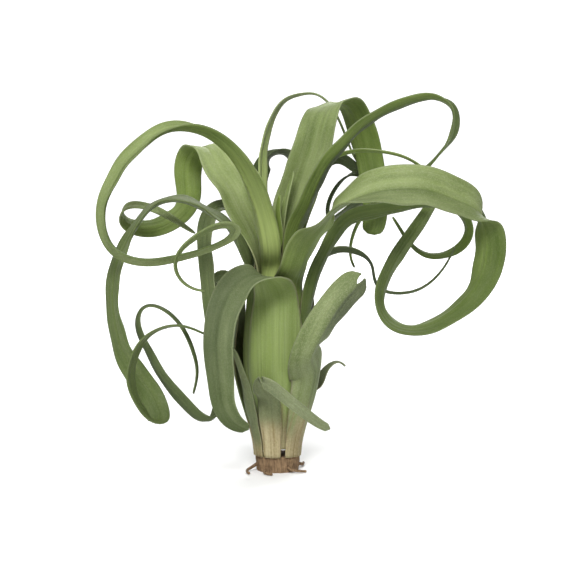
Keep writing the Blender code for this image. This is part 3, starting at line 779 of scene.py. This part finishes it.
LEAVES = (
    Leaf(
        "leaf_front_broad", azimuth=-93, layer=6, wrap=44, depart=76, width=7.8, taper=0.30,
        tone=Tone.GREY, channel=26, neck=24, shade=0.02, half_shade=0.46,
        way=((-2, -19, 81, -110), (-5, -24, 86, -165), (-10, -28, 87, 150), (-16, -32, 84, 120),
             (-20, -35, 78, 100), (-23, -38, 69, 95), (-24, -40, 57, 95), (-23, -39, 45, 95),
             (-22, -37, 34, 100), (-19, -33, 27, 100), (-16, -29, 24, 110), (-12, -26, 22, 120)),
    ),
    Leaf(
        "leaf_front_right", azimuth=-37, layer=7, wrap=34, depart=43, width=9.4, taper=0.60,
        tone=Tone.GREY, channel=50, neck=34, tip=6.4, tip_channel=1.0, shade=0.46, dusty=0.26,
        keel=1.3, notch=5, pleat=0.0, half_shade=-0.56,
        way=((13, -24, 52, -40), (17, -28, 61, -50), (22, -28, 70, -65), (28, -26, 78, -75),
             (33, -25, 83, -80), (36, -23, 86, -80)),
    ),
    Leaf(
        "leaf_right_arch", azimuth=-52, layer=4, wrap=46, depart=82, width=11.8, taper=0.78,
        channel=50, neck=42, tip=2.8, shade=0.14, dusty=0.06, half_shade=0.4, flat_at=34,
        way=((9, -15, 88, -35), (12, -19, 96, -40), (15, -23, 102, -35), (19, -26, 107, -25),
             (21, -28, 111, 0), (26, -30, 115, 5), (31, -31, 118, 15), (38, -33, 121, 40),
             (48, -34, 123, 60), (61, -33, 123, 65), (72, -30, 119, 60), (81, -27, 115, 45),
             (85, -24, 111, 5), (87, -23, 105, -45), (88, -22, 96, -50), (85, -22, 84, -40),
             (78, -22, 75, -25), (69, -21, 68, -20), (59, -20, 64, -15), (50, -17, 65, -15),
             (45, -13, 70, -20), (44, -9, 76, -25), (47, -5, 85, -35), (53, 0, 95, -45),
             (60, 5, 104, -50), (66, 9, 113, -50), (69, 11, 118, -50)),
    ),
    Leaf(
        "leaf_right_strap", azimuth=-12, layer=5, wrap=42, depart=66, width=4.8, taper=0.50,
        shade=0.66,
        way=((15, -3, 79, -35), (18, -4, 89, -40), (22, -6, 97, -40), (26, -8, 105, -50),
             (32, -9, 110, -60), (41, -8, 112, -55), (53, -5, 114, -45), (65, 1, 115, -35),
             (76, 8, 113, -30), (82, 13, 108, -30), (84, 16, 102, -40), (80, 18, 95, -40),
             (73, 18, 92, -30), (65, 16, 92, -30), (58, 14, 97, -25), (54, 12, 103, -25),
             (50, 10, 109, -20)),
    ),
    Leaf(
        "leaf_centre_broad", azimuth=76, layer=2, wrap=50, depart=86, width=10.0, taper=0.85,
        neck=40, tip=5.0, shade=0.24, pale=0.1,
        way=((4, 8, 105, 90), (8, 10, 118, 90), (12, 11, 130, 90), (16, 13, 142, 85),
             (19, 17, 152, 60), (23, 25, 157, 20), (29, 33, 159, -10), (33, 40, 157, -40),
             (36, 45, 151, -60), (39, 48, 144, -75), (41, 49, 136, -80), (43, 48, 126, -85),
             (44, 45, 116, -85), (44, 42, 107, -80), (42, 39, 100, -75)),
    ),
    Leaf(
        "leaf_top_right_loop", azimuth=-28, layer=2, wrap=42, depart=90, width=5.6, taper=0.75,
        shade=0.4, half_shade=-0.46,
        way=((8, -5, 105, -45), (13, -8, 115, -40), (17, -11, 125, -40), (22, -12, 134, -40),
             (28, -13, 140, -35), (34, -12, 147, -30), (43, -10, 153, -30), (52, -7, 157, -30),
             (61, -4, 160, -30), (68, 0, 160, -10), (73, 4, 158, 10), (76, 8, 155, 35),
             (77, 11, 150, 40), (76, 14, 144, 35), (72, 18, 138, 10), (66, 21, 131, -10),
             (55, 25, 124, -20), (44, 28, 116, -20), (37, 30, 108, -20), (33, 31, 99, -25),
             (32, 29, 91, -25), (34, 25, 86, -25)),
    ),
    Leaf(
        "leaf_top_thin", azimuth=145, layer=1, wrap=36, depart=92, width=4.6, taper=0.75,
        pale=0.8,
        way=((-6, 1, 105, 140), (-7, 6, 115, 150), (-7, 10, 125, 150), (-7, 16, 135, 150),
             (-6, 20, 142, 155), (-4, 25, 148, 155), (-1, 30, 156, 160), (4, 35, 161, 165),
             (11, 40, 163, 170), (18, 45, 163, 180), (24, 49, 158, 185), (28, 52, 151, 190),
             (31, 54, 144, 190), (34, 54, 136, 190), (38, 53, 130, 190)),
    ),
    Leaf(
        "leaf_left_loop", azimuth=-150, layer=2, wrap=56, depart=88, width=7.6, taper=0.85,
        channel=74, tip_channel=0.6, pale=0.75, half_shade=-0.46,
        way=((-5, -13, 96, -125), (-7, -17, 108, -130), (-11, -21, 121, -135),
             (-17, -25, 133, -145), (-23, -28, 140, -155), (-30, -29, 145, -170),
             (-39, -29, 147, -190), (-46, -29, 146, -205), (-52, -29, 142, -215),
             (-57, -30, 138, -220), (-62, -31, 133, -220), (-66, -32, 126, -220),
             (-70, -33, 118, -215), (-71, -34, 111, -210), (-70, -36, 105, -210),
             (-67, -38, 99, -210), (-60, -40, 95, -210), (-51, -42, 94, -210),
             (-40, -45, 96, -210), (-29, -48, 99, -205), (-20, -51, 103, -210),
             (-16, -54, 106, -240), (-16, -57, 109, -295), (-21, -59, 110, -315),
             (-27, -59, 108, -320), (-33, -58, 104, -320), (-38, -57, 100, -325),
             (-41, -56, 94, -330), (-40, -54, 89, -330), (-36, -52, 84, -335),
             (-29, -50, 82, -340)),
    ),
    Leaf(
        "leaf_left_arch", azimuth=-154, layer=5, wrap=37, depart=76, width=7.6, taper=0.42,
        channel=24, tip=0.6, shade=0.58, half_shade=0.15,
        way=((-13, -9, 90, 170), (-17, -14, 99, 170), (-21, -18, 107, 175), (-28, -21, 112, 175),
             (-35, -24, 116, 175), (-43, -25, 118, 175), (-52, -25, 115, 175),
             (-57, -25, 109, 170), (-62, -25, 100, 160), (-66, -25, 92, 150),
             (-68, -25, 80, 150), (-67, -26, 67, 145), (-64, -27, 55, 130), (-58, -28, 45, 105),
             (-51, -31, 35, 95), (-48, -36, 26, 120), (-53, -42, 30, 175), (-58, -44, 38, 170),
             (-60, -44, 47, 160), (-57, -42, 58, 160), (-50, -39, 65, 165), (-40, -36, 67, 170),
             (-30, -33, 63, 175)),
    ),
    Leaf(
        "leaf_upper_left_broad", azimuth=150, layer=3, wrap=50, depart=86, width=9.6, taper=0.75,
        dusty=0.05, pale=0.15,
        way=((-9, 11, 101, 120), (-14, 11, 111, 110), (-19, 13, 122, 110), (-26, 17, 131, 110),
             (-30, 23, 138, 145), (-35, 31, 139, -170), (-39, 38, 135, -110),
             (-41, 40, 128, -90), (-40, 37, 119, -75), (-41, 31, 113, -65), (-47, 24, 107, -60),
             (-55, 16, 104, -60), (-63, 8, 105, -50), (-67, 1, 109, -15), (-65, -5, 114, 15),
             (-59, -8, 115, 30), (-51, -9, 113, 40), (-44, -9, 109, 50), (-38, -8, 105, 50),
             (-35, -7, 103, 50)),
    ),
    Leaf(
        "leaf_left_trailing", azimuth=145, layer=4, wrap=38, depart=84, width=5.4, taper=0.68,
        tone=Tone.DARK, shade=0.1, half_shade=0.2,
        way=((-7, 14, 91, 150), (-12, 20, 101, 150), (-17, 23, 109, 155), (-22, 22, 113, 150),
             (-28, 18, 112, 140), (-31, 14, 105, 130), (-31, 10, 97, 130), (-30, 6, 84, 130),
             (-28, -1, 67, 130), (-25, -9, 50, 130), (-24, -17, 36, 140), (-27, -23, 25, 170),
             (-33, -27, 27, 230), (-38, -29, 33, 240), (-44, -30, 40, 235), (-49, -31, 47, 230),
             (-53, -31, 55, 225), (-57, -31, 63, 220), (-58, -31, 70, 205), (-55, -31, 75, 190),
             (-51, -31, 75, 185), (-45, -30, 72, 190), (-39, -29, 65, 200), (-35, -28, 56, 205),
             (-33, -27, 46, 205), (-35, -26, 37, 205)),
    ),
    Leaf(
        "leaf_right_thin", azimuth=-25, layer=1, wrap=58, depart=92, width=2.8, taper=0.80,
        way=((10, 1, 107, -50), (13, -2, 120, -45), (18, -3, 130, -40), (24, -5, 135, -30),
             (30, -3, 137, -25), (38, 0, 138, -20), (47, 3, 137, -20), (55, 7, 135, -20),
             (62, 11, 131, -20), (69, 15, 125, -20), (73, 18, 117, -20)),
    ),
    Leaf(
        "leaf_right_curl", azimuth=18, layer=6, wrap=34, depart=62, width=5.2, taper=1.00,
        tone=Tone.DARK, channel=24, shade=0.5,
        way=((15, 15, 83, 10), (18, 17, 89, -10), (24, 15, 94, -30), (31, 17, 94, -30),
             (37, 19, 92, -15), (42, 20, 88, -5), (42, 20, 82, -5), (44, 19, 77, -15),
             (50, 18, 75, -20), (60, 16, 76, -20), (68, 14, 81, -20), (74, 12, 89, -15),
             (77, 10, 96, -15)),
    ),
    Leaf(
        "leaf_back_right", azimuth=56, layer=4, wrap=40, depart=82, width=7.6, taper=0.50,
        tone=Tone.DARK, channel=24, shade=0.85,
        way=((4, 20, 106, 95), (7, 28, 118, 80), (7, 38, 130, 50), (4, 49, 135, 10),
             (-2, 60, 136, -20), (-7, 65, 132, -50), (-10, 67, 120, -70), (-11, 66, 106, -80),
             (-11, 61, 90, -85), (-10, 53, 75, -90)),
    ),
    Leaf(
        "leaf_back_inner", azimuth=46, layer=3, wrap=38, depart=80, width=4.6, taper=0.70,
        tone=Tone.DARK, shade=0.9,
        way=((8, 14, 104, 65), (11, 20, 116, 80), (15, 30, 126, 90), (22, 40, 133, 95),
             (29, 50, 134, 95), (36, 57, 129, 95), (39, 61, 127, 140), (34, 64, 127, 170),
             (29, 66, 123, 200), (25, 67, 117, 215), (23, 68, 112, 225), (23, 69, 106, 235),
             (26, 70, 102, 240)),
    ),
    Leaf(
        "leaf_back_middle", azimuth=92, layer=5, wrap=40, depart=76, width=6.6, taper=0.55,
        tone=Tone.DARK, shade=0.7,
        way=((-1, 23, 91, 90), (-2, 32, 99, 90), (-3, 43, 103, 110), (-4, 54, 99, -150),
             (-3, 60, 86, -100), (-3, 60, 68, -90), (-2, 55, 52, -90), (-1, 47, 40, -90),
             (1, 38, 35, -90), (1, 30, 39, -90)),
    ),
    Leaf(
        "leaf_back_far_right", azimuth=84, layer=6, wrap=28, depart=66, width=6.0, taper=0.60,
        tone=Tone.DARK, shade=0.8,
        way=((3, 24, 80, 75), (7, 33, 90, 60), (16, 47, 99, 30), (29, 60, 108, -10),
             (44, 62, 116, -40), (62, 64, 120, -55), (79, 63, 118, -60), (91, 60, 111, -60),
             (96, 57, 99, -60), (96, 53, 86, -55), (93, 49, 77, -50)),
    ),
    Leaf(
        "leaf_back_left", azimuth=112, layer=7, wrap=27, depart=54, width=6.4, taper=0.55,
        tone=Tone.DARK, shade=0.8,
        way=((-8, 25, 70, 130), (-10, 33, 85, 120), (-13, 43, 100, 110), (-16, 54, 111, 120),
             (-16, 64, 115, 180), (-15, 72, 109, -110), (-13, 76, 93, -95), (-12, 75, 75, -90),
             (-11, 69, 58, -90), (-10, 60, 45, -90), (-10, 49, 37, -90)),
    ),
    Leaf(
        "leaf_left_low", azimuth=168, layer=7, wrap=25, depart=56, width=6.2, taper=0.50,
        tone=Tone.DARK, shade=0.2,
        way=((-17, 2, 74, 165), (-21, 6, 81, 155), (-26, 11, 82, 145), (-28, 15, 73, 140),
             (-29, 16, 59, 135), (-28, 14, 45, 135), (-25, 10, 36, 135), (-21, 5, 33, 130)),
    ),
    Leaf(
        "leaf_young_left", azimuth=-128, layer=1, wrap=30, depart=92, width=4.0, taper=0.60,
        way=((-2, -5, 103, -130), (-5, -7, 115, -130), (-8, -8, 126, -140), (-11, -7, 131, -150),
             (-13, -3, 131, -160), (-13, 0, 129, -170), (-13, 2, 127, -170)),
    ),
    Leaf(
        "leaf_heart_right", azimuth=35, layer=0, wrap=62, depart=96, width=3.4, taper=0.60,
        way=((2, 0, 105, 30), (3, 0, 113, 30), (5, 1, 122, 30), (7, 3, 129, 25)),
    ),
    Leaf(
        "leaf_heart_left", azimuth=-145, layer=0, wrap=62, depart=92, width=3.0, taper=0.60,
        way=((1, -3, 102, -145), (0, -4, 111, -145), (1, -4, 119, -140)),
    ),
    Leaf(
        "leaf_old_front", azimuth=-104, layer=7, wrap=22, depart=33, width=3.0, taper=0.35,
        tone=Tone.OLD, tip=1.2,
        way=((-7, -26, 39, -100), (-7, -29, 43, -140), (-5, -31, 43, 120), (0, -31, 39, 90),
             (7, -30, 33, 80), (13, -28, 28, 80), (18, -26, 24, 80), (22, -25, 22, 80)),
    ),
    Leaf(
        "leaf_old_left", azimuth=-146, layer=7, wrap=17, depart=22, width=2.8, taper=0.60,
        tone=Tone.OLD,
        way=((-12, -13, 29, -130), (-13, -15, 37, -130), (-16, -17, 47, -135),
             (-19, -19, 56, -150), (-24, -22, 59, -170)),
    ),
    Leaf(
        "leaf_old_right", azimuth=48, layer=7, wrap=22, depart=32, width=2.6, taper=0.50,
        tone=Tone.OLD,
        way=((17, 15, 34, 40), (21, 19, 41, 30), (26, 22, 45, 10), (30, 24, 42, -10)),
    ),
)


@dataclass(frozen=True)
class Stem:
    """The trimmed stem base with its roots. Lengths are in millimetres."""

    base_radius: float = 9.6
    foot_taper: float = 0.6
    top: float = 6.8          # the part of the stem that can be seen ends here
    sides: int = 96
    rings: int = 14
    root_radius: float = 0.8
    root_sunk: float = 2.5
    root_curl: float = 0.5
    root_points: int = 24
    root_taper: float = 0.35
    crease_angle: float = 50.0    # degrees above which an edge stays sharp
    roots: tuple = (          # azimuth in degrees, reach from the axis, height at the stem
        (-165, 17.5, 4.0),
        (-128, 15.5, 3.0),
        (-62, 15.0, 3.4),
        (20, 16.5, 3.0),
        (95, 16.0, 3.8),
    )
    slot: str = "stem"
    node: str = "stem_with_roots"

    def base(self) -> bpy.types.Object:
        """The base: a cylinder of many rings, furrowed like dry fibre."""
        deselect_all()
        bpy.ops.mesh.primitive_cylinder_add(
            vertices=self.sides, radius=self.base_radius * MM, depth=self.top * MM,
            location=(0, 0, self.top / 2 * MM))
        base = bpy.context.object
        settle(base, "stem_base")
        bpy.ops.object.mode_set(mode="EDIT")
        for ring in range(1, self.rings):
            bpy.ops.mesh.select_all(action="SELECT")
            bpy.ops.mesh.bisect(plane_co=(0, 0, self.top * MM * ring / self.rings),
                                plane_no=(0, 0, 1))
        bpy.ops.mesh.select_all(action="DESELECT")
        bpy.ops.object.mode_set(mode="OBJECT")
        for corner in base.data.vertices:
            x, y, z = corner.co
            turn = math.atan2(y, x)
            level = z / (self.top * MM)
            furrow = 0.018 * math.sin(17 * turn + 3 * level) + 0.012 * math.sin(
                41 * turn + 2 * math.sin(5 * turn) + 4 * level)
            waist = 1 - self.foot_taper / self.base_radius * (1 - level) ** 2
            corner.co.x = x * waist * (0.985 + furrow)
            corner.co.y = y * waist * (0.985 + furrow)
        return base

    def root(self, azimuth: float, reach: float, height: float) -> bpy.types.Object:
        """One wiry root, from inside the base down to the surface.

        Args:
            azimuth: The side that it leaves the base on, in degrees.
            reach: How far from the axis it ends.
            height: The height at which it leaves the base.

        Returns:
            The root as a closed mesh.
        """
        deselect_all()
        bpy.ops.curve.primitive_nurbs_path_add()
        item = bpy.context.object
        curve = item.data
        curve.splines.clear()
        curve.bevel_depth = self.root_radius * MM
        curve.bevel_resolution = 4
        curve.use_fill_caps = True
        spline = curve.splines.new("POLY")
        spline.points.add(self.root_points - 1)
        start = self.base_radius - self.root_sunk
        for point, share in zip(spline.points, np.linspace(0, 1, self.root_points)):
            radius = start + (reach - start) * share
            drop = height + (self.root_radius - height) * math.sin(share * math.pi / 2)
            turn = math.radians(azimuth) + self.root_curl * share * share
            turn = turn + 0.05 * math.sin(9 * share + azimuth) * share
            point.co = (radius * math.cos(turn) * MM, radius * math.sin(turn) * MM,
                        drop * MM, 1)
            point.radius = 1.0 - self.root_taper * share
        make_active(item)
        bpy.ops.object.convert(target="MESH")
        return bpy.context.object

    def dress(self, item: bpy.types.Object, name: str) -> None:
        """Smooth a piece, colour it and put it on the frame."""
        settle(item, name)
        bpy.ops.object.shade_smooth_by_angle(angle=math.radians(self.crease_angle))
        item.data.materials.clear()
        item.data.materials.append(bpy.data.materials[BarkFinish().name])
        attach(item, BODY)

    def build(self) -> list[bpy.types.Object]:
        """Make the base and its roots, and stand them in for the frame's stem."""
        pieces = [self.base()]
        self.dress(pieces[0], pieces[0].name)
        for number, root in enumerate(self.roots, start=1):
            item = self.root(*root)
            self.dress(item, f"root_{number}")
            pieces.append(item)
        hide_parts(self.node)
        return pieces


@dataclass(frozen=True)
class Studio:
    """Pale floor, soft light and the camera. Lengths are in metres."""

    floor_size: float = 6.0
    target: tuple[float, float, float] = (0.0045, 0.0, 0.079)
    distance: float = 0.75
    elevation: float = 5.0    # degrees that the camera looks down
    view_width: float = 0.2477
    sensor: float = 36.0      # millimetres
    sky: float = 0.22
    sweep_width: float = 1.2  # how far the floor's curve reaches on each side of its edge
    lamps: tuple = (          # name, place, edge in metres and power in watts
        ("key_light", (-0.08, -1.12, 0.98), 0.5, 25.0),
        ("top_light", (-0.10, 0.10, 1.40), 0.7, 8.0),
        ("back_light", (0.35, 1.15, 0.85), 0.8, 13.0),
    )

    def floor(self) -> bpy.types.Object:
        """A floor that sweeps up behind the plant."""
        deselect_all()
        half = self.floor_size / 2
        bpy.ops.mesh.primitive_plane_add(size=self.floor_size, location=(0, 0, 0))
        item = bpy.context.object
        bpy.ops.object.mode_set(mode="EDIT")
        bpy.ops.mesh.select_all(action="DESELECT")
        bpy.ops.object.mode_set(mode="OBJECT")
        for edge in item.data.edges:
            ends = [item.data.vertices[index].co.y for index in edge.vertices]
            edge.select = min(ends) > half - 0.01
        bpy.ops.object.mode_set(mode="EDIT")
        bpy.ops.mesh.select_mode(type="EDGE")
        bpy.ops.mesh.extrude_region_move(
            TRANSFORM_OT_translate={"value": (0, 0, half)})
        bpy.ops.object.mode_set(mode="OBJECT")
        apply_modifier(item, "BEVEL", {"width": self.sweep_width, "segments": 24})
        settle(item, "studio_floor")
        bpy.ops.object.shade_smooth()
        item.data.materials.append(FloorFinish().material())
        return item

    def lamp(self, name: str, place: tuple[float, float, float], size: float,
             power: float) -> None:
        """A square soft light that faces the plant.

        Args:
            name: The light's name.
            place: Where it hangs.
            size: Its edge.
            power: Its power in watts.
        """
        bpy.ops.object.light_add(type="AREA", location=place)
        lamp = bpy.context.object
        lamp.name = name
        lamp.data.size = size
        lamp.data.energy = power
        target = bpy.data.objects.new(name + "_aim", None)
        target.location = self.target
        bpy.context.scene.collection.objects.link(target)
        aim = lamp.constraints.new("TRACK_TO")
        aim.target = target
        aim.track_axis = "TRACK_NEGATIVE_Z"
        aim.up_axis = "UP_Y"

    def camera(self) -> None:
        """The camera, level in front of the plant and a little above its middle."""
        tilt = math.radians(self.elevation)
        x, y, z = self.target
        bpy.ops.object.camera_add(
            location=(x, y - self.distance * math.cos(tilt), z + self.distance * math.sin(tilt)),
            rotation=(math.pi / 2 - tilt, 0, 0))
        camera = bpy.context.object
        camera.data.sensor_width = self.sensor
        camera.data.lens = self.sensor * self.distance / self.view_width
        bpy.context.scene.camera = camera

    def build(self) -> None:
        """Set the floor, lights, sky and camera."""
        self.floor()
        for lamp in self.lamps:
            self.lamp(*lamp)
        world = bpy.data.worlds.new("sky")
        world.use_nodes = True
        background = world.node_tree.nodes["Background"]
        background.inputs["Color"].default_value = (1.0, 1.0, 1.0, 1.0)
        background.inputs["Strength"].default_value = self.sky
        bpy.context.scene.world = world
        bpy.context.scene.view_settings.view_transform = "Standard"
        self.camera()


def main() -> None:
    """Build the studio and the plant, and report each piece."""
    logging.basicConfig(level=logging.INFO, format="%(message)s")
    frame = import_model()
    LOG.info("frame nodes: %d", len(frame["nodes"]))
    Studio().build()
    for finish in FINISHES.values():
        finish.material()
    BarkFinish().material()
    for number, leaf in enumerate(LEAVES):
        piece = leaf.build(seed=number * SEED_STEP)
        LOG.info("%s: %d faces", piece.name, len(piece.data.polygons))
    for piece in Stem().build():
        LOG.info("%s: %d faces", piece.name, len(piece.data.polygons))


if __name__ == "__main__":
    main()
